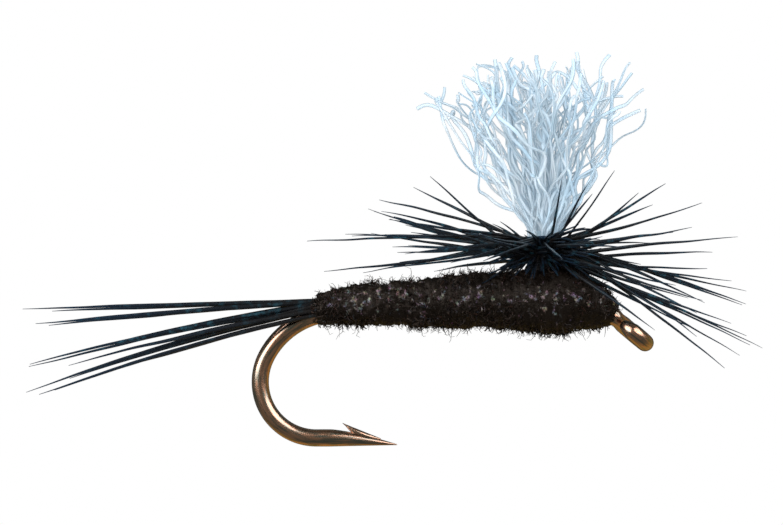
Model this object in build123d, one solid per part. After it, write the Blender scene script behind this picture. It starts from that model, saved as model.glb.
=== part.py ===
from build123d import *
from math import cos, radians, sin
import os
import random

# A parachute dry fly: a hook dressed with thread, a tail of hackle fibres, a body of
# dubbed fur, a post of white yarn, and a feather wound flat round the foot of the post.
#
# Millimetres. The origin is the centre of the hole in the hook's eye, +X runs forward
# out past the eye, +Z is up on the wing's side and +Y is the fly's left.

# Hook: one bent wire
wire_dia = 0.36
shank_run = 5.5  # straight wire between the neck and the bend
hook_gap = 2.6  # shank's axis to spear's axis
throat_turn = 61.3  # degrees of the bend in its wider upper arc, before its tighter heel
throat_widening = 1.446  # the upper arc's radius over the heel's
spear_run = 0.29  # straight wire between the bend and the ground point
point_length = 1.39
tip_dia = 0.03
tip_rise = 0.03  # the tip's underside above the spear's underside
barb_length = 0.32
barb_root_dia = 0.13
barb_angle = 40  # degrees above the spear
barb_place = 0.4  # its root's middle, from the start of the point
barb_depth = 0.09  # its root's middle, above the spear's axis
eye_hole_dia = 0.34
eye_land_depth = 0.02  # the flat worn into the inside of the eye's round wire
eye_tilt = 40  # degrees below the shank
neck_radius = 0.4
neck_run = 0.16

# Thread layers along the shank
thread_dia = 0.02
seat = 0.005  # clearance between a wound layer and what it lies on
underbody_start = 0.1  # behind the neck
underbody_reach = 0.42  # past the start of the bend, where the tail is tied in
tail_wrap_length = 0.36
tail_wrap_wall = 0.03
wing_wrap_length = 1.1
wing_wrap_wall = 0.035
tie_down_length = 0.12
tie_down_dia = 0.74
head_length = 0.24
head_rear_dia = 0.66
head_middle_dia = 0.576
head_front_dia = 0.44
head_middle_place = 0.45  # share of the head's length
head_drop = 0.03  # the front's centre below the shank's axis
cement_wall = 0.02

# Tail: separate hackle fibres laid round the top of the shank
tail_count = 12
tail_fibre_dia = 0.076
tail_tip_dia = 0.02
tail_length = 6.1
tail_length_spread = 0.25
tail_wrap_arc = 105  # degrees each side of the top of the shank
tail_fan = 1.1  # sideways reach of the outer tips
tail_drop = 1.55  # how far the outer tips hang below the top ones
tail_sag = 0.15  # how far every tip bows down
tail_drop_power = 1.6  # how much of the drop the middle fibres are spared
tail_middle_fan = 0.45  # share of the fan and of the drop at the middle of a fibre
tail_middle_drop = 0.42
tail_middle_dia = 0.061

# Dubbed body: centre heights are above the shank's axis
abdomen_rear_wall = 0.045  # over the wraps that hold the tail
abdomen_rear_rise = 0.1
abdomen_front_dia = 1.14
abdomen_front_rise = 0.27
thorax_front = 0.23  # behind the neck
thorax_length = 1.8
thorax_belly_dia = 1.46
thorax_belly_rise = 0.3
thorax_belly_place = 0.74  # share of the thorax's length, from its rear
thorax_shoulder_place = 0.37
thorax_front_dia = 0.86
thorax_front_rise = 0.12

# Wing: one bundle of white yarn, bound to the shank and stood up as a post
post_place = 1.27  # the post's axis behind the neck
post_dia = 0.5
post_height = 1.7  # from the shank's axis to where the yarn flares
yarn_butt_length = 1.3
yarn_butt_wall = 0.1
yarn_butt_arc = 60  # degrees each side of the top of the shank
post_wrap_wall = 0.035
post_wrap_height = 0.72
plume_height = 3.62
plume_lean = 0.22  # how far the top sits behind the foot
plume_width = 4.4
plume_depth = 3.5
plume_top_width = 3.0
plume_flare = [(0.26, 0.46), (0.6, 0.92), (0.8, 1.0)]  # share of its height, share of its width

# Hackle: a feather's quill wound round the post, with its barbs standing out flat
turns = 5
quill_dia = 0.08
turn_pitch = 0.1
barbs_per_turn = 15
hackle_reach = 4.45  # barb tips from the post's axis
hackle_reach_spread = 0.4
hackle_tilt = 6  # degrees, lower towards the eye
hackle_scatter = 15  # degrees above and below the hackle's plane, at its sides
hackle_scatter_front = 6  # more of it towards the eye, and as much less towards the tail
turn_lift = 4  # degrees that each turn's barbs rise above those of the turn below
barb_bearing_scatter = 6  # degrees to each side of even spacing
barb_fibre_dia = 0.07
barb_middle_dia = 0.058
barb_tip_dia = 0.016
barb_droop = 0.12
barb_seat = 0.032  # the roots' centres, outside the quill's axis

wire_radius = wire_dia / 2
eye_ring_radius = eye_hole_dia / 2 + wire_radius - eye_land_depth
eye_forward = Vector(cos(radians(eye_tilt)), 0, -sin(radians(eye_tilt)))
eye_axis = Vector(-sin(radians(eye_tilt)), 0, -cos(radians(eye_tilt)))
neck_back = eye_ring_radius + neck_run
shank_z = neck_back * sin(radians(eye_tilt)) + neck_radius * (1 - cos(radians(eye_tilt)))
neck_x = -neck_back * cos(radians(eye_tilt)) - neck_radius * sin(radians(eye_tilt))
bend_x = neck_x - shank_run
spear_z = shank_z - hook_gap
throat_cos = cos(radians(throat_turn))
heel_radius = hook_gap / (throat_widening * (1 - throat_cos) + 1 + throat_cos)
throat_radius = heel_radius * throat_widening
underbody_radius = wire_radius + seat + thread_dia

underbody_front_x = neck_x - underbody_start
underbody_rear_x = bend_x - underbody_reach
tail_wrap_rear_x = underbody_rear_x
abdomen_rear_x = tail_wrap_rear_x
thorax_front_x = neck_x - thorax_front
abdomen_front_x = thorax_front_x - thorax_length
tie_down_front_x = thorax_front_x + tie_down_length
post_x = neck_x - post_place
post_wrap_radius = post_dia / 2 + seat + post_wrap_wall
quill_radius = quill_dia / 2
helix_radius = post_wrap_radius + seat + quill_radius
flare_z = shank_z + post_height
post_wrap_z = flare_z - post_wrap_height
hackle_z = post_wrap_z + 0.5 * (post_wrap_height - turns * turn_pitch)
butt_inner = underbody_radius + seat
butt_outer = butt_inner + yarn_butt_wall
wing_wrap_rise = (butt_outer - underbody_radius) / 2
wing_wrap_radius = (butt_outer + underbody_radius) / 2 + wing_wrap_wall
tail_ring_radius = underbody_radius + seat + tail_fibre_dia / 2
tail_bundle_radius = tail_ring_radius + tail_fibre_dia / 2 + seat
tail_wrap_radius = tail_bundle_radius + tail_wrap_wall
abdomen_rear_dia = 2 * (tail_wrap_radius + seat + abdomen_rear_wall)


def side(x, z):
    return Vector(x, 0, z)


def rod(x_start, x_end, radius, rise=0):
    """A round bar along X, centred the given height above the shank's axis."""
    plane = Plane(origin=(x_start, 0, shank_z + rise), z_dir=(1, 0, 0))
    return extrude(plane * Circle(radius), x_end - x_start)


def post_bar(z_start, z_end, radius):
    return Pos(post_x, 0, z_start) * extrude(Circle(radius), z_end - z_start)


def fibre(spine, diameters, sides=6):
    """A tapering fibre with flat sides. All its sections are square to its root-to-tip line."""
    spine = [Vector(*p) for p in spine]
    plane = Plane(origin=spine[0], z_dir=(spine[-1] - spine[0]).normalized())
    rings = []
    for centre, diameter in zip(spine, diameters):
        ring = []
        for k in range(sides):
            turn = radians(360 * k / sides)
            offset = plane.x_dir * cos(turn) + plane.y_dir * sin(turn)
            ring.append(centre + offset * (diameter / 2))
        rings.append(ring)
    faces = [Face(Wire.make_polygon(rings[0])), Face(Wire.make_polygon(rings[-1]))]
    for low, high in zip(rings, rings[1:]):
        for k in range(sides):
            n = (k + 1) % sides
            faces.append(Face(Wire.make_polygon([low[k], low[n], high[n], high[k]])))
    return Solid(Shell(faces))


def wire_path(front_only=False):
    """The wire's centre line from the eye's ring back along the shank and round the bend."""
    start = eye_forward * -eye_ring_radius
    neck_end = eye_forward * -neck_back
    shank_front = side(neck_x, shank_z)
    shank_rear = side(bend_x, shank_z)
    front = [
        Line(start, neck_end),
        TangentArc(neck_end, shank_front, tangent=eye_forward * -1),
        Line(shank_front, shank_rear),
    ]
    if front_only:
        return Wire(front)
    turn = radians(throat_turn)
    meeting = side(bend_x - throat_radius * sin(turn), shank_z - throat_radius * (1 - cos(turn)))
    heel_end = side(meeting.X + heel_radius * sin(turn), spear_z)
    throat = TangentArc(shank_rear, meeting, tangent=(-1, 0, 0))
    heel = TangentArc(meeting, heel_end, tangent=throat % 1)
    return Wire(front + [throat, heel, Line(heel_end, heel_end + Vector(spear_run, 0, 0))])


def wire_along(path, radius):
    section = Plane(origin=path @ 0, z_dir=path % 0) * Circle(radius)
    return sweep(section, path=path)


def make_hook():
    path = wire_path()
    point_start = path @ 1
    tip_z = spear_z - wire_radius + tip_rise + tip_dia / 2
    point_end = side(point_start.X + point_length, tip_z)
    point = loft(
        [
            Plane(origin=point_start, z_dir=(1, 0, 0)) * Circle(wire_radius),
            Plane(origin=point_end, z_dir=(1, 0, 0)) * Circle(tip_dia / 2),
        ],
        ruled=True,
    )
    barb_root = point_start + Vector(barb_place, 0, barb_depth)
    barb_reach = Vector(-cos(radians(barb_angle)), 0, sin(radians(barb_angle)))
    barb_tip = barb_root + barb_reach * barb_length
    barb = fibre([barb_root, barb_tip], [barb_root_dia, tip_dia])
    ring = Plane(origin=(0, 0, 0), z_dir=eye_axis) * Torus(eye_ring_radius, wire_radius)
    hole = Plane(origin=eye_axis * -wire_radius, z_dir=eye_axis)
    bore = extrude(hole * Circle(eye_hole_dia / 2), wire_dia)
    return wire_along(path, wire_radius) + point + barb + ring - bore


def neck_room():
    """The space that the wire takes up near the neck, with a seat's clearance round it."""
    return wire_along(wire_path(front_only=True), wire_radius + seat)


def make_underbody():
    """The first layer of thread, wound over the bare shank and onto the start of the bend."""
    straight = rod(bend_x, underbody_front_x, underbody_radius)
    tail_end = rod(underbody_rear_x, bend_x, underbody_radius)
    full_wire = wire_along(wire_path(), wire_radius + seat)
    return straight + tail_end - full_wire


def tail_place(number):
    """Angle of one tail fibre from the top of the shank, and its spread from -1 to 1."""
    spread = 2 * number / (tail_count - 1) - 1
    return radians(tail_wrap_arc * spread), spread


def make_tail_fibre(number, rng):
    angle, spread = tail_place(number)
    y, z = tail_ring_radius * sin(angle), tail_ring_radius * cos(angle)
    butt_x = tail_wrap_rear_x + tail_wrap_length
    root_x = tail_wrap_rear_x - seat
    length = tail_length - rng.uniform(0, tail_length_spread) * tail_length
    drop = tail_drop * abs(spread) ** tail_drop_power
    middle_y = y + tail_middle_fan * tail_fan * spread
    middle = (root_x - length / 2, middle_y, shank_z + z - tail_middle_drop * drop)
    tip = (root_x - length, y + tail_fan * spread, shank_z + z - drop - tail_sag)
    spine = [(butt_x, y, shank_z + z), (root_x, y, shank_z + z), middle, tip]
    return fibre(spine, [tail_fibre_dia, tail_fibre_dia, tail_middle_dia, tail_tip_dia])


def tail_bundle_room():
    """The half ring over the shank that the tail fibres' butts fill."""
    x_start = tail_wrap_rear_x - seat
    x_end = tail_wrap_rear_x + tail_wrap_length + seat
    ring = rod(x_start, x_end, tail_bundle_radius) - rod(x_start, x_end, underbody_radius)
    lowest = tail_ring_radius * cos(radians(tail_wrap_arc)) - tail_fibre_dia / 2 - seat
    height = tail_bundle_radius - lowest
    keep = Pos((x_start + x_end) / 2, 0, shank_z + lowest + height / 2) * Box(
        2 * tail_wrap_length, 4 * tail_bundle_radius, height
    )
    return ring & keep


def tail_wrap_outer(extra=0, x_start=None):
    """The outside of the tail's thread, which runs flat under the shank, where no fibre lies."""
    x_start = tail_wrap_rear_x if x_start is None else x_start
    x_end = tail_wrap_rear_x + tail_wrap_length + extra
    top = tail_wrap_radius + extra
    depth = underbody_radius + tail_wrap_wall + extra
    keep = Pos((x_start + x_end) / 2, 0, shank_z + (top - depth) / 2) * Box(
        2 * (x_end - x_start), 4 * top, top + depth
    )
    return rod(x_start, x_end, top) & keep


def make_tail_wraps():
    """Thread bound tightly over the butts of the tail fibres."""
    wire = wire_along(wire_path(), wire_radius + seat)
    underbody = rod(tail_wrap_rear_x, 0, underbody_radius)
    return tail_wrap_outer() - tail_bundle_room() - underbody - wire


def body_section(x, diameter, rise):
    return Plane(origin=(x, 0, shank_z + rise), z_dir=(1, 0, 0)) * Circle(diameter / 2)


def make_abdomen():
    """Dubbed fur spun on the thread and wound forward as an even cone."""
    cone = loft(
        [
            body_section(abdomen_rear_x, abdomen_rear_dia, abdomen_rear_rise),
            body_section(abdomen_front_x, abdomen_front_dia, abdomen_front_rise),
        ],
        ruled=True,
    )
    shank = rod(abdomen_rear_x - 1, abdomen_front_x + 1, underbody_radius + seat)
    return cone - shank - tail_wrap_outer(seat, abdomen_rear_x - 1)


def yarn_butt_room(extra):
    """The arched strip over the shank that the yarn's bound length fills."""
    half = yarn_butt_length / 2 + extra
    ring = rod(post_x - half, post_x + half, butt_outer + extra) - rod(
        post_x - half, post_x + half, butt_inner - extra
    )
    reach = 2 * butt_outer
    edge_y, edge_z = sin(radians(yarn_butt_arc)) * reach, cos(radians(yarn_butt_arc)) * reach
    wedge = Plane(origin=(post_x - half, 0, shank_z), x_dir=(0, 1, 0), z_dir=(1, 0, 0)) * make_face(
        Polyline((0, 0), (-edge_y, edge_z), (-edge_y, reach), (edge_y, reach), (edge_y, edge_z), close=True)
    )
    return ring & extrude(wedge, 2 * half)


def make_yarn_butt():
    return yarn_butt_room(0)


def wing_wrap_outer(extra=0):
    half = wing_wrap_length / 2 + extra
    return rod(post_x - half, post_x + half, wing_wrap_radius + extra, wing_wrap_rise)


def make_wing_wraps():
    """Crossed turns of thread that bind the yarn to the shank before and behind the post."""
    shank = rod(post_x - 1, post_x + 1, underbody_radius + seat)
    post = post_bar(shank_z, flare_z, post_dia / 2 + seat)
    return wing_wrap_outer() - shank - yarn_butt_room(seat) - post


def make_post():
    """The yarn where the thread squeezes it, from the shank up to its flare."""
    return post_bar(shank_z + butt_outer + seat, flare_z, post_dia / 2)


def make_post_wraps():
    outer = post_bar(post_wrap_z, flare_z, post_wrap_radius)
    return outer - post_bar(post_wrap_z - 1, flare_z + 1, post_dia / 2 + seat)


def make_plume():
    """The free yarn above the wraps, as the plain outer shape of the flared filaments."""
    levels = [(0, post_dia, post_dia)]
    levels += [(share, spread * plume_width, spread * plume_depth) for share, spread in plume_flare]
    levels.append((1, plume_top_width, plume_top_width * plume_depth / plume_width))
    sections = []
    for share, width, depth in levels:
        centre = (post_x - plume_lean * share, 0, flare_z + seat + plume_height * share)
        sections.append(Plane(origin=centre) * Ellipse(width / 2, depth / 2))
    return loft(sections)


def stem_bar(extra=0):
    x = post_x + helix_radius
    low, high = shank_z + wing_wrap_rise + wing_wrap_radius + seat, hackle_z - quill_radius - seat
    return Pos(x, 0, low - extra) * extrude(Circle(quill_radius + extra), high - low + extra)


def make_thorax():
    """Fuller dubbing wound round the foot of the post and forward to the head."""
    belly_x = abdomen_front_x + thorax_length * thorax_belly_place
    shoulder_x = abdomen_front_x + thorax_length * thorax_shoulder_place
    shoulder_dia = (abdomen_front_dia + thorax_belly_dia) / 2
    shoulder_rise = (abdomen_front_rise + thorax_belly_rise) / 2
    body = loft(
        [
            body_section(abdomen_front_x + seat, abdomen_front_dia, abdomen_front_rise),
            body_section(shoulder_x, shoulder_dia, shoulder_rise),
            body_section(belly_x, thorax_belly_dia, thorax_belly_rise),
            body_section(thorax_front_x, thorax_front_dia, thorax_front_rise),
        ]
    )
    shank = rod(abdomen_front_x - 1, thorax_front_x + 1, underbody_radius + seat)
    post = post_bar(shank_z, flare_z, post_dia / 2 + seat)
    collar = post_bar(post_wrap_z - seat, flare_z, post_wrap_radius + seat)
    butt = yarn_butt_room(2 * seat)
    return body - shank - post - collar - butt - wing_wrap_outer(seat) - stem_bar(seat)


def make_quill():
    """The feather's stem, wound up the post in touching turns."""
    path = Helix(turn_pitch, turn_pitch * turns, helix_radius, center=(post_x, 0, hackle_z))
    section = Plane(origin=path @ 0, z_dir=path % 0) * Circle(quill_radius)
    return sweep(section, path=path, is_frenet=True)


def make_barb(turn, number, rng):
    """One barb of the feather, from the quill out to its tip."""
    share = (number + 0.5) / barbs_per_turn
    stray = rng.uniform(-barb_bearing_scatter, barb_bearing_scatter)
    around = radians(360 * (share + turn / (turns * barbs_per_turn)) + stray)
    scatter = hackle_scatter + hackle_scatter_front * cos(around)
    lift = rng.uniform(-scatter, scatter) - hackle_tilt * cos(around)
    lift = radians(lift + turn_lift * (turn - (turns - 1) / 2))
    root_z = hackle_z + turn_pitch * (turn + share)
    reach = hackle_reach - rng.uniform(0, hackle_reach_spread)
    out = Vector(cos(around) * cos(lift), sin(around) * cos(lift), sin(lift))
    root = Vector(post_x, 0, root_z)
    root += Vector(cos(around), sin(around), 0) * (helix_radius + barb_seat)
    tip = root + out * (reach - helix_radius)
    middle = (root + tip) * 0.5 + Vector(0, 0, barb_droop)
    return fibre([root, middle, tip], [barb_fibre_dia, barb_middle_dia, barb_tip_dia])


def make_barbs(turn, rng):
    return Compound([make_barb(turn, number, rng) for number in range(barbs_per_turn)])


def make_tie_down_wraps():
    """Thread that holds down the feather's tip between the thorax and the head."""
    collar = rod(thorax_front_x + seat, tie_down_front_x, tie_down_dia / 2, thorax_front_rise / 2)
    return collar - rod(thorax_front_x - 1, tie_down_front_x + 1, underbody_radius + seat)


def head_shape(extra):
    """The cone of the thread head, which leans with the start of the neck."""
    lean = eye_tilt / 4
    start = Plane(origin=(tie_down_front_x + seat, 0, shank_z + thorax_front_rise / 3), z_dir=(1, 0, 0))
    middle = start.offset(head_length * head_middle_place)
    end_centre = side(tie_down_front_x + seat + head_length, shank_z - head_drop)
    end = Plane(origin=end_centre, z_dir=(cos(radians(lean)), 0, -sin(radians(lean))))
    return loft(
        [
            start * Circle(head_rear_dia / 2 + extra),
            middle * Circle(head_middle_dia / 2 + extra),
            end * Circle(head_front_dia / 2 + extra),
        ]
    )


def make_head():
    """The whip-finished thread head behind the eye."""
    return head_shape(0) - neck_room() - rod(bend_x, underbody_front_x + seat, underbody_radius + seat)


def make_cement():
    """A skin of clear varnish over the thread head."""
    return head_shape(seat + cement_wall) - head_shape(seat) - neck_room()


def save(shape, name):
    solids = shape.solids()
    whole = solids[0] if len(solids) == 1 else Compound(list(solids))
    export_step(whole, os.path.join("parts", name + ".step"))


os.makedirs("parts", exist_ok=True)
save(make_hook(), "hook")
save(make_underbody(), "thread_underbody")
tail_rng = random.Random(4)
for number in range(tail_count):
    save(make_tail_fibre(number, tail_rng), f"tail_fibre_{number + 1:02d}")
save(make_tail_wraps(), "tail_tie_wraps")
save(make_abdomen(), "abdomen_dubbing")
save(make_yarn_butt(), "wing_yarn_butt")
save(make_post(), "wing_post")
save(make_plume(), "wing_plume")
save(make_wing_wraps(), "wing_tie_wraps")
save(make_post_wraps(), "post_thread_wraps")
save(make_thorax(), "thorax_dubbing")
save(stem_bar(), "hackle_stem_butt")
save(make_quill(), "hackle_quill")
barb_rng = random.Random(11)
for turn in range(turns):
    save(make_barbs(turn, barb_rng), f"hackle_barbs_turn_{turn + 1}")
save(make_tie_down_wraps(), "hackle_tie_down_wraps")
save(make_head(), "head_wraps")
save(make_cement(), "head_cement")
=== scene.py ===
import random
from math import cos, pi, radians, sin

import bpy
from mathutils import Matrix, Vector


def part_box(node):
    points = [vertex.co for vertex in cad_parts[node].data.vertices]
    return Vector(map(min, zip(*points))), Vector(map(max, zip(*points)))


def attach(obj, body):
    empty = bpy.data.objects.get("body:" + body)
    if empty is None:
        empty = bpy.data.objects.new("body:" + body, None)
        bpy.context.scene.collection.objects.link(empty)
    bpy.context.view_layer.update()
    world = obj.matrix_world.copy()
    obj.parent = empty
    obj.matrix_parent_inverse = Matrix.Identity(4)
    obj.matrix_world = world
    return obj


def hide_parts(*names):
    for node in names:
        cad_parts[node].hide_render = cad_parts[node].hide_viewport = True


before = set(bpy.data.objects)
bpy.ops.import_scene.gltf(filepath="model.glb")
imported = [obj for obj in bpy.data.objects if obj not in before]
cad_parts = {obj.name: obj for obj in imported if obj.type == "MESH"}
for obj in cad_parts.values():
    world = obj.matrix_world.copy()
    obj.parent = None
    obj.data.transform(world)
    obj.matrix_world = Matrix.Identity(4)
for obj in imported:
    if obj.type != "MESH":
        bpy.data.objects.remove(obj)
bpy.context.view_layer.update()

# ---- Camera, light and floor --------------------------------------------------------------
# The fly is seen square from its right side, level with its body, on a plain white ground. Two
# soft boxes in front draw the white streaks along the wire, and two broad dim ones, which no gloss
# mirrors, light the front and the back evenly.

view_width = 0.01629
view_centre = Vector((-0.005023, 0, 0.001458))
lens = 200
sensor = 36
floor_drop = 0.02
floor_size = 0.3
key_brightness = 5.5
side_brightness = 4.6
front_brightness = 1.2
back_brightness = 0.9


def aim(thing, place, target):
    """Stands a camera or a light at a place, looking at a target."""
    thing.location = place
    thing.rotation_euler = (Vector(target) - Vector(place)).to_track_quat("-Z", "Y").to_euler()
    bpy.context.scene.collection.objects.link(thing)


camera_data = bpy.data.cameras.new("camera")
camera_data.lens = lens
camera_data.sensor_width = sensor
camera_data.clip_start = 0.001
camera_data.clip_end = 10
camera = bpy.data.objects.new("camera", camera_data)
aim(camera, view_centre + Vector((0, -view_width * lens / sensor, 0)), view_centre)
bpy.context.scene.camera = camera


def soft_box(name, place, width, height, brightness):
    """A studio light that faces the fly. The camera doesn't see it."""
    lamp = bpy.data.lights.new(name, "AREA")
    lamp.shape = "RECTANGLE"
    lamp.size = width
    lamp.size_y = height
    lamp.energy = brightness * pi * width * height
    stand = bpy.data.objects.new(name, lamp)
    stand.visible_camera = False
    aim(stand, Vector(place), view_centre)
    return stand


soft_box("left_light", (-0.115, -0.085, 0.075), 0.14, 0.15, key_brightness)
soft_box("right_light", (0.105, -0.095, 0.085), 0.16, 0.12, side_brightness)
front_light = soft_box("front_light", (0.0, -0.2, 0.05), 0.36, 0.30, front_brightness)
front_light.visible_glossy = False
back_light = soft_box("back_light", (0.0, 0.2, 0.08), 0.36, 0.30, back_brightness)
back_light.visible_glossy = False

world = bpy.data.worlds.new("studio")
world.use_nodes = True
bpy.context.scene.world = world


class Value:
    """One output of a node. Arithmetic on it adds the maths nodes that work it out."""

    def __init__(self, tree, socket):
        self.tree = tree
        self.socket = socket

    def output(self, name):
        """Another output of the same node."""
        return Value(self.tree, self.socket.node.outputs[name])

    def __add__(self, other):
        return self.tree.maths("ADD", self, other)

    def __sub__(self, other):
        return self.tree.maths("SUBTRACT", self, other)

    def __mul__(self, other):
        return self.tree.maths("MULTIPLY", self, other)

    def __pow__(self, other):
        return self.tree.maths("POWER", self, other)

    def __gt__(self, other):
        return self.tree.maths("GREATER_THAN", self, other)

    def __rsub__(self, other):
        return self.tree.maths("SUBTRACT", other, self)

    def __rtruediv__(self, other):
        return self.tree.maths("DIVIDE", other, self)

    __radd__ = __add__
    __rmul__ = __mul__


class Tree:
    """A tree of shader or geometry nodes, which is filled one node at a time."""

    def __init__(self, node_tree):
        self.node_tree = node_tree

    def feed(self, node, values):
        """Gives a node's sockets numbers, colours or links."""
        for key, value in values.items():
            if isinstance(value, Value):
                self.node_tree.links.new(value.socket, node.inputs[key])
            else:
                node.inputs[key].default_value = value

    def add(self, kind, settings=None, values=None, output=0):
        """Adds a node, makes its settings, feeds its sockets, and returns one of its outputs."""
        node = self.node_tree.nodes.new(kind)
        for name, setting in (settings or {}).items():
            if name == "stops":
                while len(node.color_ramp.elements) < len(setting):
                    node.color_ramp.elements.new(1)
                for stop, (place, colour) in zip(node.color_ramp.elements, setting):
                    stop.position = place
                    stop.color = colour
            else:
                setattr(node, name, setting)
        self.feed(node, values or {})
        return Value(self, node.outputs[output])

    def maths(self, operation, *inputs):
        return self.add("ShaderNodeMath", {"operation": operation}, dict(enumerate(inputs)))

    def ramp(self, value, low, high, start=0, end=1):
        """A number that goes from start to end while the value goes from low to high."""
        values = {0: value, 1: low, 2: high, 3: start, 4: end}
        return self.add("ShaderNodeMapRange", values=values)

    def vector(self, operation, *inputs):
        return self.add("ShaderNodeVectorMath", {"operation": operation}, dict(enumerate(inputs)))

    def scaled(self, vector, factor):
        settings = {"operation": "SCALE"}
        return self.add("ShaderNodeVectorMath", settings, {"Vector": vector, "Scale": factor})

    def blend(self, factor, first, second, way="MIX"):
        """A mix of two colours."""
        settings = {"data_type": "RGBA", "blend_type": way}
        return self.add("ShaderNodeMix", settings, {0: factor, 6: first, 7: second}, output=2)


# The camera sees white all round. Wire and lacquer mirror a dim room, warm low down behind the fly
# and dark straight behind it. Matt surfaces are filled by a faint cool sky.
sky = Tree(world.node_tree)
ray = sky.add("ShaderNodeLightPath", output="Is Camera Ray")
way = sky.add("ShaderNodeTexCoord", output="Generated")
way_parts = sky.add("ShaderNodeSeparateXYZ", values={"Vector": way})
behind = sky.ramp(way_parts.output("Y"), -0.3, 0.3)
straight_behind = sky.ramp(way_parts.output("Y"), 0.7, 0.95, 1, 0.15)
warm_side = sky.ramp(way_parts.output("X") * 0.6 - way_parts.output("Z"), 0, 0.45)
room = sky.blend(behind * warm_side, (0.13, 0.14, 0.12, 1), (0.46, 0.32, 0.1, 1))
room_light = sky.add("ShaderNodeBackground", values={"Color": room, "Strength": straight_behind})
sky_light = sky.add("ShaderNodeBackground", values={"Color": (0.82, 0.92, 1, 1), "Strength": 0.12})
ground_white = sky.add("ShaderNodeBackground", values={"Color": (1, 1, 1, 1), "Strength": 1})
values = {0: ray.output("Is Glossy Ray"), 1: sky_light, 2: room_light}
gloss_mix = sky.add("ShaderNodeMixShader", values=values)
sky_mix = sky.add("ShaderNodeMixShader", values={0: ray, 1: gloss_mix, 2: ground_white})
sky.feed(world.node_tree.nodes["World Output"], {"Surface": sky_mix})
bpy.context.scene.view_settings.view_transform = "Standard"


def new_material(name, constants):
    """A material with one Principled shader, whose even values are set on its own sockets."""
    material = bpy.data.materials.new(name)
    material.use_nodes = True
    shader = material.node_tree.nodes["Principled BSDF"]
    for socket, value in constants.items():
        shader.inputs[socket].default_value = value
    return material, Tree(material.node_tree), shader


def noise(tree, place, scale, detail=3):
    """A smooth random number from 0 to 1 at each place."""
    values = {"Vector": place, "Scale": scale, "Detail": detail}
    return tree.add("ShaderNodeTexNoise", values=values, output="Fac")


def millimetres(tree):
    """The place on a piece, in millimetres."""
    return tree.scaled(tree.add("ShaderNodeTexCoord", output="Object"), 1000)


def floor_paint():
    """Matt white card with a barely visible tooth."""
    material, tree, shader = new_material("floor_card", {"Roughness": 0.95})
    tooth = noise(tree, millimetres(tree), 0.8)
    colour = tree.blend(tooth, (0.86, 0.87, 0.88, 1), (0.9, 0.91, 0.92, 1))
    tree.feed(shader, {"Base Color": colour})
    return material


floor_mesh = bpy.data.meshes.new("floor")
half_floor = floor_size / 2
floor_corners = [(-half_floor, -half_floor), (half_floor, -half_floor)]
floor_corners += [(half_floor, half_floor), (-half_floor, half_floor)]
floor_mesh.from_pydata([(x, y, -floor_drop) for x, y in floor_corners], [], [(0, 1, 2, 3)])
floor_mesh.materials.append(floor_paint())
floor = bpy.data.objects.new("floor", floor_mesh)
bpy.context.scene.collection.objects.link(floor)
floor.visible_glossy = False

# ---- Hook ---------------------------------------------------------------------------------
# One length of round high-carbon wire: a ring turned down for the eye, a straight shank, a round
# bend, and a ground needle point with a barb cut up from it. It is bronzed and clear lacquered.

hook_wire_dia = 0.36
eye_wire_dia = 0.36
eye_ring_radius = 0.33
eye_tilt = radians(40)
eye_gap_turn = radians(140)  # the ring's end lies against the neck at this turn from its front
eye_end_share = 0.62  # the ring's end is ground down to this share of its thickness
neck_start = 0.4  # behind the eye's centre
neck_start_dia = 0.33
neck_length = 0.16
neck_bend = 0.4
shank_length = 5.5
hook_gap = 2.6
throat_turn = radians(61.3)
throat_widening = 1.446
spear_length = 0.29
point_length = 1.39
point_tip_dia = 0.02
point_taper = 1.35
point_lift = 0.03
barb_front = 0.89  # where the ridge starts, forward of the bend's top
barb_length = 0.86
barb_sunk = 0.01
barb_slope = radians(22)
# the barb's thickness at shares of its length
barb_girths = [(0, 0.03), (0.2, 0.09), (0.4, 0.14), (0.62, 0.14), (0.78, 0.09), (0.9, 0.04), (1, 0.01)]
wire_sides = 40
wire_steps = 420

eye_forward = Vector((cos(eye_tilt), 0, -sin(eye_tilt)))
neck_back = eye_ring_radius + neck_length
shank_z = neck_back * sin(eye_tilt) + neck_bend * (1 - cos(eye_tilt))
neck_x = -neck_back * cos(eye_tilt) - neck_bend * sin(eye_tilt)
bend_x = neck_x - shank_length
spear_z = shank_z - hook_gap
heel_radius = hook_gap / (throat_widening * (1 - cos(throat_turn)) + 1 + cos(throat_turn))
throat_radius = heel_radius * throat_widening


def arc(centre, radius, start, end, steps):
    """Points on an arc in the fly's middle plane. The angles run from +X towards +Z."""
    turns = [start + (end - start) * k / steps for k in range(steps + 1)]
    return [Vector((centre[0] + radius * cos(a), 0, centre[1] + radius * sin(a))) for a in turns]


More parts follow.
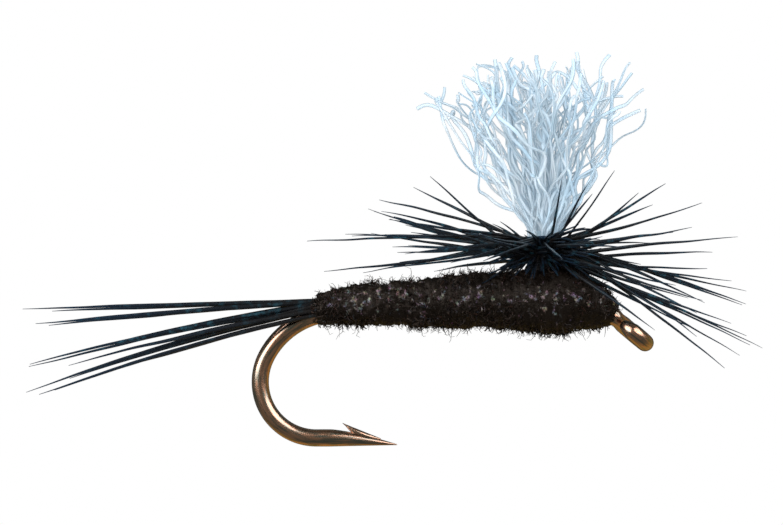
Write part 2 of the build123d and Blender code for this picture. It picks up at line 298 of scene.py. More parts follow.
def wire_guide():
    """The wire's centre line with its thickness, from the eye's end to the needle point."""
    line = []
    for k in range(41):
        turn = eye_gap_turn * (2 * k / 40 - 1)
        place = eye_forward * (eye_ring_radius * cos(turn))
        girth = eye_wire_dia * min(1, eye_end_share + (1 - eye_end_share) * k / 6)
        line.append((place + Vector((0, eye_ring_radius * sin(turn), 0)), girth))
    line.append((eye_forward * -neck_start + Vector((0, 0.05, 0)), neck_start_dia))
    neck_centre = (neck_x, shank_z - neck_bend)
    shank = arc(neck_centre, neck_bend, pi / 2 - eye_tilt, pi / 2, 6)
    shank += [Vector((neck_x - shank_length * k / 40, 0, shank_z)) for k in range(1, 40)]
    shank += arc((bend_x, shank_z - throat_radius), throat_radius, pi / 2, pi / 2 + throat_turn, 24)
    meeting = shank.pop()
    heel_x = meeting.x + heel_radius * sin(throat_turn)
    shank += arc((heel_x, spear_z + heel_radius), heel_radius, pi / 2 + throat_turn, 3 * pi / 2, 32)
    line += [(place, hook_wire_dia) for place in shank]
    point_x = heel_x + spear_length
    low_edge = spear_z - hook_wire_dia / 2
    for k in range(13):
        share = k / 12
        girth = hook_wire_dia + (point_tip_dia - hook_wire_dia) * share**point_taper
        middle_z = low_edge + girth / 2 + point_lift * share
        line.append((Vector((point_x + point_length * share, 0, middle_z)), girth))
    return line


def barb_guide():
    """The barb: a ridge raised along the top of the point, whose rear end is cut free and sharp."""
    root = Vector((bend_x + barb_front, 0, spear_z - barb_sunk))
    back = Vector((-cos(barb_slope), 0, sin(barb_slope))) * barb_length
    down = Vector((-sin(barb_slope), 0, -cos(barb_slope)))
    return [(root + back * share + down * (girth / 2), girth) for share, girth in barb_girths]


def guide_lines(name, guides):
    """A line mesh with one run of edges for each guide, which is a list of (place, girth)."""
    places, edges, girths, shades = [], [], [], []
    dice = random.Random(name)
    for guide in guides:
        shade = dice.random()
        edges += [(len(places) + k, len(places) + k + 1) for k in range(len(guide) - 1)]
        places += [tuple(place) for place, girth in guide]
        girths += [girth for place, girth in guide]
        shades += [shade] * len(guide)
    mesh = bpy.data.meshes.new(name)
    mesh.from_pydata(places, edges, [])
    for label, values in (("girth", girths), ("shade", shades)):
        mesh.attributes.new(label, "FLOAT", "POINT").data.foreach_set("value", values)
    guide_object = bpy.data.objects.new(name, mesh)
    bpy.context.scene.collection.objects.link(guide_object)
    return guide_object


def new_group(name, sizes):
    """A geometry tree with a named input for each size, and its inputs by name."""
    group = bpy.data.node_groups.new(name, "GeometryNodeTree")
    group.interface.new_socket("Geometry", in_out="INPUT", socket_type="NodeSocketGeometry")
    group.interface.new_socket("Geometry", in_out="OUTPUT", socket_type="NodeSocketGeometry")
    for label, kind in sizes.items():
        group.interface.new_socket(label, in_out="INPUT", socket_type="NodeSocket" + kind)
    tree = Tree(group)
    start = tree.add("NodeGroupInput")
    inputs = {label: start.output(label) for label in ["Geometry", *sizes]}
    return group, tree, inputs


def named(tree, label):
    """A number that is stored on the geometry under a name."""
    values = {"Name": label}
    return tree.add("GeometryNodeInputNamedAttribute", {"data_type": "FLOAT"}, values)


def stored(tree, geometry, label, value):
    """The geometry, with a number stored on its points under a name."""
    settings = {"data_type": "FLOAT", "domain": "POINT"}
    values = {"Geometry": geometry, "Name": label, "Value": value}
    return tree.add("GeometryNodeStoreNamedAttribute", settings, values)


def end_group(tree, geometry, material):
    """Ends a tree in Realize Instances and Set Material."""
    solid = tree.add("GeometryNodeRealizeInstances", values={"Geometry": geometry})
    values = {"Geometry": solid, "Material": material}
    done = tree.add("GeometryNodeSetMaterial", values=values)
    end = tree.node_tree.nodes.new("NodeGroupOutput")
    tree.feed(end, {"Geometry": done})


def swept(tree, curves, sides, flatness):
    """Curves as closed round or flat fibres, each as thick as its girth."""
    circle = tree.add("GeometryNodeCurvePrimitiveCircle", values={"Resolution": sides, "Radius": 1})
    size = tree.add("ShaderNodeCombineXYZ", values={"X": 1, "Y": flatness, "Z": 1})
    turn = tree.add("GeometryNodeSplineParameter", output="Factor")
    marked = stored(tree, circle, "around", turn)
    profile = tree.add("GeometryNodeTransform", values={"Geometry": marked, "Scale": size})
    radius = named(tree, "girth") * 0.5
    values = {"Curve": curves, "Profile Curve": profile, "Scale": radius, "Fill Caps": True}
    return tree.add("GeometryNodeCurveToMesh", values=values)


def fibre_group():
    """Sweeps each guide line into a fibre, with its own crinkle and one that its neighbours share."""
    group, tree, inputs = new_group("fibres along guides", {
        "Steps": "Int", "Sides": "Int", "Flatness": "Float", "Twist": "Float",
        "Own crinkle": "Float", "Shared crinkle": "Float", "Crinkle length": "Float",
        "Material": "Material",
    })
    line = tree.add("GeometryNodeMeshToCurve", values={"Mesh": inputs["Geometry"]})
    smooth = tree.add("GeometryNodeCurveSplineType", {"spline_type": "CATMULL_ROM"}, {"Curve": line})
    steps = {"Curve": smooth, "Count": inputs["Steps"]}
    even = tree.add("GeometryNodeResampleCurve", {"mode": "COUNT"}, steps)
    along = tree.add("GeometryNodeSplineParameter", output="Factor")
    marked = stored(tree, even, "along", along)
    place = tree.add("GeometryNodeInputPosition")
    shade = named(tree, "shade")
    settings = {"noise_dimensions": "4D"}
    frequency = 1 / inputs["Crinkle length"]
    values = {"Vector": place, "W": shade * 300, "Scale": frequency, "Detail": 1.2, "Roughness": 0.5}
    own = tree.add("ShaderNodeTexNoise", settings, values, output="Color")
    values = {"Vector": place, "W": 7, "Scale": frequency * 0.6, "Detail": 1}
    shared = tree.add("ShaderNodeTexNoise", settings, values, output="Color")
    middle = (0.5, 0.5, 0.5)
    own_shift = tree.scaled(tree.vector("SUBTRACT", own, middle), inputs["Own crinkle"])
    shared_shift = tree.scaled(tree.vector("SUBTRACT", shared, middle), inputs["Shared crinkle"])
    shift = tree.scaled(tree.vector("ADD", own_shift, shared_shift), named(tree, "along") ** 0.4)
    values = {"Geometry": marked, "Offset": shift}
    crinkled = tree.add("GeometryNodeSetPosition", values=values)
    twist = shade * 40 + named(tree, "along") * inputs["Twist"]
    turned = tree.add("GeometryNodeSetCurveTilt", values={"Curve": crinkled, "Tilt": twist})
    solid = swept(tree, turned, inputs["Sides"], inputs["Flatness"])
    end_group(tree, solid, inputs["Material"])
    return group


fibres_along_guides = fibre_group()


def grown(name, base, group, sizes):
    """Runs a geometry tree on a base object in millimetres, and keeps the result as a plain mesh."""
    modifier = base.modifiers.new("grow", "NODES")
    modifier.node_group = group
    for item in group.interface.items_tree:
        if item.in_out == "INPUT" and item.name in sizes:
            modifier[item.identifier] = sizes[item.name]
    depsgraph = bpy.context.evaluated_depsgraph_get()
    mesh = bpy.data.meshes.new_from_object(base.evaluated_get(depsgraph), depsgraph=depsgraph)
    bpy.data.objects.remove(base)
    mesh.transform(Matrix.Scale(0.001, 4))
    mesh.polygons.foreach_set("use_smooth", [True] * len(mesh.polygons))
    mesh.name = name
    piece = bpy.data.objects.new(name, mesh)
    bpy.context.scene.collection.objects.link(piece)
    return piece


def bronzed_wire():
    """Bronzed steel under clear lacquer, with redder and greyer streaks drawn out along the wire."""
    constants = {"Metallic": 1, "Coat Weight": 1, "Coat Roughness": 0.08, "Coat IOR": 1.5}
    material, tree, shader = new_material("bronzed_wire", constants)
    place = millimetres(tree)
    fine = noise(tree, place, 14, 5)
    along = tree.add("ShaderNodeAttribute", {"attribute_name": "along"}, output="Fac")
    turn = tree.add("ShaderNodeAttribute", {"attribute_name": "around"}, output="Fac") * (2 * pi)
    drawn = {"X": along * 16, "Y": tree.maths("SINE", turn) * 2, "Z": tree.maths("COSINE", turn) * 2}
    streaks = noise(tree, tree.add("ShaderNodeCombineXYZ", values=drawn), 2.2, 4)
    bands = tree.ramp(streaks, 0.42, 0.58)
    tint = tree.blend(bands, (0.64, 0.33, 0.21, 1), (0.2, 0.18, 0.14, 1))
    specks = (fine > 0.64) * 0.35
    colour = tree.blend(specks, tint, (0.10, 0.045, 0.018, 1))
    rough = streaks * 0.16 + fine * 0.1 + 0.14
    bump = tree.add("ShaderNodeBump", values={"Strength": 0.025, "Distance": 2e-6, "Height": fine})
    tree.feed(shader, {"Base Color": colour, "Roughness": rough, "Normal": bump})
    return material


hook_finish = bronzed_wire()
hook_wire = grown("hook_bronzed_wire", guide_lines("hook", [wire_guide()]), fibres_along_guides, {
    "Steps": wire_steps, "Sides": wire_sides, "Flatness": 1.0, "Crinkle length": 1.0,
    "Material": hook_finish,
})
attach(hook_wire, "root")
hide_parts("hook")
hook_barb = grown("hook_barb", guide_lines("barb", [barb_guide()]), fibres_along_guides, {
    "Steps": 24, "Sides": 20, "Flatness": 1.0, "Crinkle length": 1.0, "Material": hook_finish,
})
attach(hook_barb, "root")
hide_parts("hook")

# ---- Tying thread under the dressing ------------------------------------------------------
# Fine black waxed thread, wound side by side. These layers lie under the fur and the hackle:
# over the bare shank, over the yarn, and over the feather's tip.

thread_dia = 0.035


def waxed_thread(name, across, turn_width=thread_dia):
    """Waxed black thread, whose turns lie side by side across the given axis, with painted shade in the
    grooves between turns and painted light on their crests.
    """
    material, tree, shader = new_material(name, {"Specular IOR Level": 0.25})
    place = millimetres(tree)
    values = {"Vector": place, "Scale": 0.1 / turn_width, "Distortion": 0.6, "Detail": 2}
    settings = {"wave_type": "BANDS", "bands_direction": across, "wave_profile": "SIN"}
    turns = tree.add("ShaderNodeTexWave", settings, values, output="Fac")
    wax = noise(tree, place, 9)
    painted_light_on_crests = tree.blend(wax, (0.006, 0.005, 0.005, 1), (0.014, 0.011, 0.01, 1))
    # Painted shade: the grooves between the turns go near black, and the crests take the lighter waxed
    # colour.
    colour = tree.blend(turns, (0.003, 0.003, 0.003, 1), painted_light_on_crests)
    bump = tree.add("ShaderNodeBump", values={"Strength": 0.8, "Distance": 8e-6, "Height": turns})
    tree.feed(shader, {"Base Color": colour, "Roughness": wax * 0.25 + 0.35, "Normal": bump})
    return material


def refinish(node, material):
    """Gives a CAD node a better material in its own slots."""
    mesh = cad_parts[node].data
    for place in range(len(mesh.materials)):
        mesh.materials[place] = material
    if not mesh.materials:
        mesh.materials.append(material)


shank_thread = waxed_thread("thread_round_the_shank", "X")
for wraps in ("thread_underbody", "wing_tie_wraps", "hackle_tie_down_wraps"):
    refinish(wraps, shank_thread)

# ---- Tail ---------------------------------------------------------------------------------
# Twelve stiff barbs pulled from a dyed black rooster feather. Their butts are bound on top of the
# shank, and they run back in three loose bunches and taper to hair-fine tips.

tail_root_dia = 0.105
tail_tip_dia = 0.012
tail_taper = 2.9
tail_free_x = bend_x - 0.46  # where the fibres leave their binding
tail_ring = 0.25
tail_closing = 0.4
tail_bow = 0.25
# each fibre: the angle of its butt round the shank in degrees, then its tip's reach, drop and side
tail_set = [
    (-100, 5.7, 1.66, -0.75), (-78, 5.1, 1.1, -0.62), (-58, 6.0, 1.72, -0.35), (-40, 5.9, 1.16, -0.8),
    (-24, 5.8, 0.36, -0.45), (-8, 6.1, 0.06, -0.1), (8, 5.5, 0.12, 0.2), (24, 5.6, 0.4, 0.5),
    (40, 4.9, 0.92, 0.7), (58, 6.0, 1.2, 0.25), (78, 5.2, 1.42, 0.9), (100, 5.5, 1.6, 0.6),
]


def tail_guide(butt_turn, reach, drop, aside):
    """One barb, straight out of its binding and then bowed gently down."""
    butt_y, butt_z = tail_ring * sin(radians(butt_turn)), tail_ring * cos(radians(butt_turn))
    line = []
    for k in range(-2, 13):
        share = k / 12
        out = max(share, 0)
        girth = tail_root_dia + (tail_tip_dia - tail_root_dia) * out**tail_taper
        y = butt_y * (1 - out) + aside * out
        sunk = drop * ((1 - tail_bow) * out + tail_bow * out**2)
        z = shank_z + butt_z * (1 - tail_closing * out) - sunk
        line.append((Vector((tail_free_x - reach * share, y, z)), girth))
    return line


def dyed_barb(name):
    """Dyed black feather barb: glossy, with patches of painted blue-green sheen that stand in for its
    glints, and bluer where it thins out.
    """
    constants = {"Specular Tint": (0.85, 0.95, 1.0, 1), "Specular IOR Level": 0.15}
    material, tree, shader = new_material(name, constants)
    along = tree.add("ShaderNodeAttribute", {"attribute_name": "along"}, output="Fac")
    shade = tree.add("ShaderNodeAttribute", {"attribute_name": "shade"}, output="Fac")
    streak = noise(tree, millimetres(tree), 6)
    black = tree.blend(shade, (0.0065, 0.005, 0.004, 1), (0.004, 0.0042, 0.005, 1))
    # Painted sheen: blue-green patches, strongest towards the tips, stand in for glints of light along the
    # barbs.
    painted_sheen_patch = tree.ramp(streak, 0.52, 0.8)
    painted_sheen = tree.blend(painted_sheen_patch * shade * (along * 3), black, (0.014, 0.065, 0.09, 1))
    colour = tree.blend(along**2, painted_sheen, (0.005, 0.014, 0.028, 1))
    bump = tree.add("ShaderNodeBump", values={"Strength": 0.3, "Distance": 3e-6, "Height": streak})
    tree.feed(shader, {"Base Color": colour, "Roughness": streak * 0.2 + 0.2, "Normal": bump})
    return material


barb_finish = dyed_barb("dyed_black_barb")
for number, tail_values in enumerate(tail_set, start=1):
    label = f"tail_fibre_{number:02d}"
    tail_line = guide_lines(label, [tail_guide(*tail_values)])
    tail_fibre = grown(f"{label}_barb", tail_line, fibres_along_guides, {
        "Steps": 60, "Sides": 10, "Flatness": 0.8, "Twist": 1.5, "Own crinkle": 0.08,
        "Crinkle length": 1.6, "Material": barb_finish,
    })
    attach(tail_fibre, "root")
    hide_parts(label)

# ---- Abdomen ------------------------------------------------------------------------------
# Near-black fur, spun on the thread into a thin rope and wound forward in touching turns, so the
# body thickens evenly to the front. Loose hairs curl out of it.

dubbing_turn = 0.3
hair_dia = 0.026
# the height of the band of painted highlights on the fur, in millimetres
painted_glint_height = 0.72


def box_of(node):
    """A CAD node's lowest and highest corners, in millimetres."""
    return [corner * 1000 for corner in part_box(node)]


def body_guide(stations):
    """A dubbed body's centre line, from stations of (x, height of its centre, thickness)."""
    return [(Vector((x, 0, z)), girth) for x, z, girth in stations]


def hair_curl(tree, size):
    """One curled hair, which rises as it turns."""
    values = {
        "Resolution": 10, "Rotations": 0.7, "Start Radius": size * 0.5, "End Radius": size * 0.35,
        "Height": size * 0.8,
    }
    return tree.add("GeometryNodeCurveSpiral", values=values)


def fuzz(tree, surface, inputs, kind, seed):
    """Hairs scattered in clumps over a surface, tipped over as far as the tree's lean input says."""
    place = tree.add("GeometryNodeInputPosition")
    thick = tree.ramp(noise(tree, place, 1.6, 1), 0.42, 0.62, 0.35, 1.9)
    density = inputs[kind + " density"] * thick
    values = {"Mesh": surface, "Density": density, "Seed": inputs["Seed"] + seed}
    scattered = tree.add("GeometryNodeDistributePointsOnFaces", values=values)
    settings = {"data_type": "FLOAT_VECTOR"}
    lean = inputs[kind + " lean"]
    low = tree.add("ShaderNodeCombineXYZ", values={"X": lean * 0.3, "Y": -0.5, "Z": 0})
    high = tree.add("ShaderNodeCombineXYZ", values={"X": lean, "Y": 0.5, "Z": 2 * pi})
    values = {0: low, 1: high, "Seed": inputs["Seed"] + seed + 1}
    angles = tree.add("FunctionNodeRandomValue", settings, values, output=0)
    laid = scattered.output("Rotation")
    for part in ((0, 0, 1), (1, 1, 0)):  # spun round first, then tipped over
        angle = tree.vector("MULTIPLY", angles, part)
        values = {"Rotation": laid, "Rotate By": tree.add("FunctionNodeEulerToRotation", values={0: angle})}
        laid = tree.add("FunctionNodeRotateRotation", {"rotation_space": "LOCAL"}, values)
    settings = {"data_type": "FLOAT"}
    values = {2: 0.4, 3: 1.5, "Seed": inputs["Seed"] + seed + 2}
    size = tree.add("FunctionNodeRandomValue", settings, values, output=1)
    values = {2: 0, 3: 1, "Seed": inputs["Seed"] + seed + 3}
    shade = tree.add("FunctionNodeRandomValue", settings, values, output=1)
    points = stored(tree, scattered, "shade", shade)
    hair = hair_curl(tree, inputs[kind + " size"])
    values = {"Points": points, "Instance": hair, "Rotation": laid, "Scale": size}
    hairs = tree.add("GeometryNodeInstanceOnPoints", values=values)
    loose = tree.add("GeometryNodeRealizeInstances", values={"Geometry": hairs})
    along = tree.add("GeometryNodeSplineParameter", output="Factor")
    tapered = stored(tree, loose, "girth", inputs["Hair"] * (1.15 - along * 0.9))
    marked = stored(tree, tapered, "along", along)
    values = {"Vector": place, "W": named(tree, "shade") * 200, "Scale": 8, "Detail": 1}
    wave = tree.add("ShaderNodeTexNoise", {"noise_dimensions": "4D"}, values, output="Color")
    shift = tree.scaled(tree.vector("SUBTRACT", wave, (0.5, 0.5, 0.5)), inputs[kind + " size"] * 1.2)
    curly = tree.add("GeometryNodeSetPosition", values={"Geometry": marked, "Offset": shift})
    return swept(tree, curly, 3, 1.0)


def dubbing_group():
    """A dubbed rope wound round a line, with the hairs that lie on it and those that stray."""
    group, tree, inputs = new_group("dubbed body", {
        "Steps": "Int", "Sides": "Int", "Turn": "Float", "Turn depth": "Float", "Lumps": "Float",
        "Hair": "Float", "Laid density": "Float", "Laid size": "Float", "Laid lean": "Float",
        "Stray density": "Float", "Stray size": "Float", "Stray lean": "Float", "Seed": "Int",
        "Material": "Material",
    })
    line = tree.add("GeometryNodeMeshToCurve", values={"Mesh": inputs["Geometry"]})
    smooth = tree.add("GeometryNodeCurveSplineType", {"spline_type": "CATMULL_ROM"}, {"Curve": line})
    steps = {"Curve": smooth, "Count": inputs["Steps"]}
    even = tree.add("GeometryNodeResampleCurve", {"mode": "COUNT"}, steps)
    along = stored(tree, even, "along", tree.add("GeometryNodeSplineParameter", output="Factor"))
    core = swept(tree, along, inputs["Sides"], 1.0)
    place = tree.add("GeometryNodeInputPosition")
    parts = tree.add("ShaderNodeSeparateXYZ", values={"Vector": place})
    bearing = tree.maths("ARCTAN2", parts.output("Y"), parts.output("Z") - shank_z)
    winding_angle = parts.output("X") * (2 * pi / inputs["Turn"]) + bearing
    ridge = tree.maths("ABSOLUTE", tree.maths("SINE", winding_angle))
    values = {"Vector": place, "Scale": 2.6, "Detail": 4, "Roughness": 0.62}
    lumps = tree.add("ShaderNodeTexNoise", values=values)
    rise = ridge * inputs["Turn depth"] + (lumps - 0.5) * inputs["Lumps"]
    offset = tree.scaled(tree.add("GeometryNodeInputNormal"), rise)
    plain = stored(tree, core, "shade", 0.0)
    lumpy = tree.add("GeometryNodeSetPosition", values={"Geometry": plain, "Offset": offset})
    laid = fuzz(tree, lumpy, inputs, "Laid", 1)
    stray = fuzz(tree, lumpy, inputs, "Stray", 11)
    joined = tree.node_tree.nodes.new("GeometryNodeJoinGeometry")
    for part in (stray, laid, lumpy):
        tree.node_tree.links.new(part.socket, joined.inputs[0])
    end_group(tree, Value(tree, joined.outputs[0]), inputs["Material"])
    return group


dubbed_body = dubbing_group()


def dubbed_fur():
    """Near-black fur with odd hairs of red-brown, slate blue and pale grey, and painted highlights: pale
    tinted specks in a band round its upper middle.
    """
    constants = {"Specular IOR Level": 0.16, "Specular Tint": (1, 0.85, 0.75, 1)}
    material, tree, shader = new_material("dubbed_fur", constants)
    shade = tree.add("ShaderNodeAttribute", {"attribute_name": "shade"}, output="Fac")
    stops = [
        (0.0, (0.003, 0.002, 0.0014, 1)), (0.6, (0.008, 0.005, 0.0035, 1)),
        (0.72, (0.03, 0.012, 0.008, 1)), (0.82, (0.008, 0.014, 0.02, 1)), (0.9, (0.04, 0.03, 0.025, 1)),
    ]
    hairs = tree.add("ShaderNodeValToRGB", {"stops": stops}, {"Fac": shade})
    place = millimetres(tree)
    patches = noise(tree, place, 3.5, 4)
    dull = tree.blend(patches * 0.6, hairs, (0.006, 0.004, 0.003, 1))
    grain = noise(tree, place, 30, 4)
    # Painted highlights: pale tinted specks, kept to a band round the body at one height, stand in for
    # light glinting off the hairs.
    values = {"Vector": place, "Scale": 9, "Detail": 2}
    painted_glint_hue = tree.add("ShaderNodeTexNoise", values=values, output="Color")
    painted_glint_colour = tree.blend(1.0, painted_glint_hue, (0.42, 0.36, 0.38, 1), "MULTIPLY")
    height = tree.add("ShaderNodeSeparateXYZ", values={"Vector": place}).output("Z")
    off_painted_glint_band = tree.maths("ABSOLUTE", height - painted_glint_height)
    painted_glint = tree.ramp(noise(tree, place, 7, 4) - off_painted_glint_band * 0.26, 0.53, 0.68, 0, 0.8)
    colour = tree.blend(painted_glint * (grain > 0.46), dull, painted_glint_colour)
    bump = tree.add("ShaderNodeBump", values={"Strength": 0.9, "Distance": 2e-5, "Height": grain})
    tree.feed(shader, {"Base Color": colour, "Roughness": grain * 0.4 + 0.2, "Normal": bump})
    return material


fur_finish = dubbed_fur()
abdomen_low, abdomen_high = box_of("abdomen_dubbing")
abdomen_front = abdomen_high.x
abdomen_rear = abdomen_low.x
abdomen_stations = [
    (abdomen_rear - 0.02, 0.43, 0.5), (abdomen_rear + 0.06, 0.45, 0.6), (abdomen_rear + 0.3, 0.52, 0.69),
    (abdomen_rear + 0.7, 0.57, 0.77), (abdomen_rear + 1.7, 0.60, 0.86), (abdomen_rear + 2.5, 0.63, 0.99),
    (abdomen_rear + 3.4, 0.67, 1.08), (abdomen_front, 0.68, 1.13), (abdomen_front + 0.25, 0.68, 1.0),
]
fur_sizes = {
    "Turn": dubbing_turn, "Turn depth": 0.02, "Lumps": 0.3, "Hair": hair_dia, "Laid density": 165.0,
    "Laid size": 0.14, "Laid lean": 2.0, "Stray density": 7.0, "Stray size": 0.26,
    "Stray lean": 1.5, "Material": fur_finish,
}
abdomen_line = guide_lines("abdomen", [body_guide(abdomen_stations)])
abdomen_fur = grown("abdomen_fur", abdomen_line, dubbed_body, {
    **fur_sizes, "Steps": 220, "Sides": 72, "Seed": 3,
})
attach(abdomen_fur, "root")
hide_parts("abdomen_dubbing")

# ---- Wing ---------------------------------------------------------------------------------
# A hank of white crimped yarn, tied across the shank and pulled up into a post. Above the thread
# its filaments flare and crinkle apart. The bound length along the shank is under the dubbing.

filament_dia = 0.078
filament_count = 124
wing_height = 3.72
wing_half_width = 2.3
wing_half_depth = 1.75
wing_lean = -0.2
wing_sunk = 0.2  # how far the free filaments reach down into the post
mouth_radius = 0.25
spread_power = 0.62  # under 1, more of the filaments go to the outside
crown_drop = 0.1
height_scatter = 0.35
knee_height = 0.4
knee_low, knee_high = -0.2, 0.55
bow_scatter = 0.38
post_low, post_high = box_of("wing_post")
post_x = (post_low.x + post_high.x) / 2
flare_z = post_high.z


def crimped_yarn(name):
    """White, half clear flat yarn, with a painted blue glow that lifts its shaded side (its own emission,
    standing in for an optical brightener), and painted shade that greys its edges.
    """
    # The emission is a painted glow, which lifts the yarn's shade; it is dimmer at the edges.
    constants = {"Specular IOR Level": 0.5, "Emission Strength": 0.2}
    material, tree, shader = new_material(name, constants)
    shade = tree.add("ShaderNodeAttribute", {"attribute_name": "shade"}, output="Fac")
    place = millimetres(tree)
    cast = noise(tree, place, 1.3, 3)
    pale = tree.blend(shade, (0.42, 0.5, 0.56, 1), (0.66, 0.7, 0.73, 1))
    icy = tree.blend(tree.ramp(cast, 0.4, 0.62, 0, 0.75), pale, (0.3, 0.48, 0.62, 1))
    turn = tree.add("ShaderNodeAttribute", {"attribute_name": "around"}, output="Fac") * (2 * pi)
    # Painted shade: the flat filament's two edges are darkened, as a clear fibre's rims look dark; the same
    # rims are also made more opaque.
    painted_rim_shade = tree.maths("ABSOLUTE", tree.maths("COSINE", turn)) ** 4
    colour = tree.blend(painted_rim_shade, icy, (0.17, 0.24, 0.29, 1))
    painted_glow = tree.blend(painted_rim_shade, (0.76, 0.9, 1, 1), (0.2, 0.28, 0.34, 1))
    rough = cast * 0.3 + 0.25
    tree.feed(shader, {"Base Color": colour, "Emission Color": painted_glow, "Roughness": rough})
    tree.feed(shader, {"Alpha": painted_rim_shade * 0.3 + 0.55})
    return material


yarn_finish = crimped_yarn("crimped_white_yarn")
wing_dice = random.Random(41)


def filament_guide():
    """One filament, up out of the post and out to its own place on the trimmed top."""
    out = wing_dice.random() ** spread_power
    bearing = wing_dice.uniform(0, 2 * pi)
    root = Vector((cos(bearing), sin(bearing), 0)) * (mouth_radius * out)
    aside = Vector((wing_half_width * cos(bearing), wing_half_depth * sin(bearing), 0)) * out
    height = wing_height - crown_drop * aside.length**2 - abs(wing_dice.gauss(0, height_scatter))
    tip = aside + Vector((wing_lean, 0, height))
    knee = root + aside * wing_dice.uniform(knee_low, knee_high)
    knee.z = knee_height * height
    bow = Vector((wing_dice.gauss(0, bow_scatter), wing_dice.gauss(0, bow_scatter), 0))
    girth = filament_dia * wing_dice.uniform(0.75, 1.15)
    line = []
    for k in range(13):
        share = k / 12
        place = root * (1 - share) ** 2 + knee * (2 * share * (1 - share)) + tip * share**2
        place = place + bow * sin(pi * share) * share + Vector((post_x, 0, flare_z - wing_sunk))
        line.append((place, girth * (0.85 + 0.15 * share)))
    return line


wing_guides = guide_lines("wing", [filament_guide() for k in range(filament_count)])
wing_filaments = grown("wing_filaments", wing_guides, fibres_along_guides, {
    "Steps": 46, "Sides": 10, "Flatness": 0.6, "Twist": 3.0, "Own crinkle": 2.1,
    "Shared crinkle": 0.9, "Crinkle length": 1.3, "Material": yarn_finish,
})
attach(wing_filaments, "root")
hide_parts("wing_plume")
for node in ("wing_post", "wing_yarn_butt"):
    refinish(node, yarn_finish)

# ---- Thorax -------------------------------------------------------------------------------
# The same fur, wound fuller under and round the foot of the post, and drawn down to the head.

thorax_low, thorax_high = box_of("thorax_dubbing")
thorax_rear = thorax_low.x
thorax_front = thorax_high.x
thorax_stations = [
    (thorax_rear - 0.15, 0.66, 0.9), (thorax_rear + 0.2, 0.64, 1.16), (thorax_rear + 0.7, 0.66, 1.32),
    (thorax_rear + 1.2, 0.68, 1.38), (thorax_rear + 1.5, 0.65, 1.24),
    (thorax_front - 0.08, 0.58, 1.04), (thorax_front + 0.15, 0.5, 0.84),
    (thorax_front + 0.35, 0.43, 0.66), (thorax_front + 0.48, 0.39, 0.42),
]
thorax_line = guide_lines("thorax", [body_guide(thorax_stations)])
thorax_fur = grown("thorax_fur", thorax_line, dubbed_body, {
    **fur_sizes, "Steps": 150, "Sides": 90, "Lumps": 0.18, "Stray density": 9.0, "Seed": 8,
})
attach(thorax_fur, "root")
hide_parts("thorax_dubbing")

# ---- Post wraps ---------------------------------------------------------------------------
# Thread wound up the foot of the yarn post in touching turns, which makes the firm pin that the
# hackle is wound on.

wrap_low, wrap_high = box_of("post_thread_wraps")
wrap_radius = (wrap_high.x - wrap_low.x - thread_dia) / 2
wrap_sunk = 0.2  # how far the wraps reach down into the fur
wrap_drop = 0.1  # how far under the post's mouth they stop
steps_per_turn = 28


def winding(axis_start, axis_end, start_radius, end_radius, turns, girth, up):
    """A helix of thread or quill round a straight axis. Up is a direction square to the axis."""
    axis = axis_end - axis_start
    aside = axis.normalized().cross(up)
    line = []
    steps = int(turns * steps_per_turn)
    for k in range(steps + 1):
        share = k / steps
        turn = 2 * pi * turns * share
        radius = start_radius + (end_radius - start_radius) * share
        place = axis_start + axis * share + (up * cos(turn) + aside * sin(turn)) * radius
        line.append((place, girth))
    return line


bare_thread = waxed_thread("thread_strand", "Z", 0.012)


def wound_thread(name, label, axis_start, axis_end, start_radius, end_radius, turns, up):
    """A length of tying thread wound round an axis."""
    line = winding(axis_start, axis_end, start_radius, end_radius, turns, thread_dia, up)
    return grown(name, guide_lines(label, [line]), fibres_along_guides, {
        "Steps": int(turns * steps_per_turn), "Sides": 8, "Flatness": 1.0, "Crinkle length": 1.0,
        "Material": bare_thread,
    })


wrap_start = Vector((post_x, 0, wrap_low.z - wrap_sunk))
wrap_end = Vector((post_x, 0, wrap_high.z - wrap_drop))
post_turns = (wrap_high.z - wrap_drop - wrap_low.z + wrap_sunk) / thread_dia
post_wraps = wound_thread(
    "post_wraps_thread", "post_wraps", wrap_start, wrap_end, wrap_radius, wrap_radius, post_turns,
    Vector((1, 0, 0)),
)
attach(post_wraps, "root")
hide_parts("post_thread_wraps")

# ---- Tail's binding -----------------------------------------------------------------------
# The same thread, wound in touching turns round the shank and the butts of the tail fibres.

binding_radius = 0.24
butt_low, butt_high = box_of("tail_tie_wraps")
butt_turns = (butt_high.x - butt_low.x) / thread_dia
tail_thread = wound_thread(
    "tail_tie_thread", "tail_tie", Vector((butt_low.x, 0, shank_z)), Vector((butt_high.x, 0, shank_z)),
    binding_radius, binding_radius, butt_turns, Vector((0, 0, 1)),
)
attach(tail_thread, "root")
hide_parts("tail_tie_wraps")

# ---- Hackle -------------------------------------------------------------------------------
# One dyed black rooster feather. Its butt is bound down beside the post, its quill is wound five
# turns round the thread pin, and its barbs stand out all round like a parachute.

hackle_turns = 5
quill_dia = 0.08
quill_low, quill_high = box_of("hackle_quill")
quill_ring = (quill_high.y - quill_low.y - quill_dia) / 2
quill_start = Vector((post_x, 0, quill_low.z + quill_dia / 2))
quill_end = Vector((post_x, 0, quill_high.z - quill_dia / 2))
barbs_per_turn = 12
barb_reach = 4.4
barb_root_dia = 0.084
barb_tip_dia = 0.011
barb_taper = 2.4
hackle_tilt = radians(8)
rear_scatter = radians(8)
front_scatter = radians(22)
side_scatter = 0.4  # the barbs out to the two sides keep closer to the hackle's plane
front_gaps = 0.7  # the share of the front barbs left out, where the hackle is sparser
webs_per_turn = 20  # short soft barbs from the feather's base
web_dia = 0.065
foot_webs = 32  # on each of the lowest turns, pressed down on the fur
foot_turns = 2
steep_rise = 50  # strays steeper than this, in degrees, are thin ones
steep_dia = 0.06
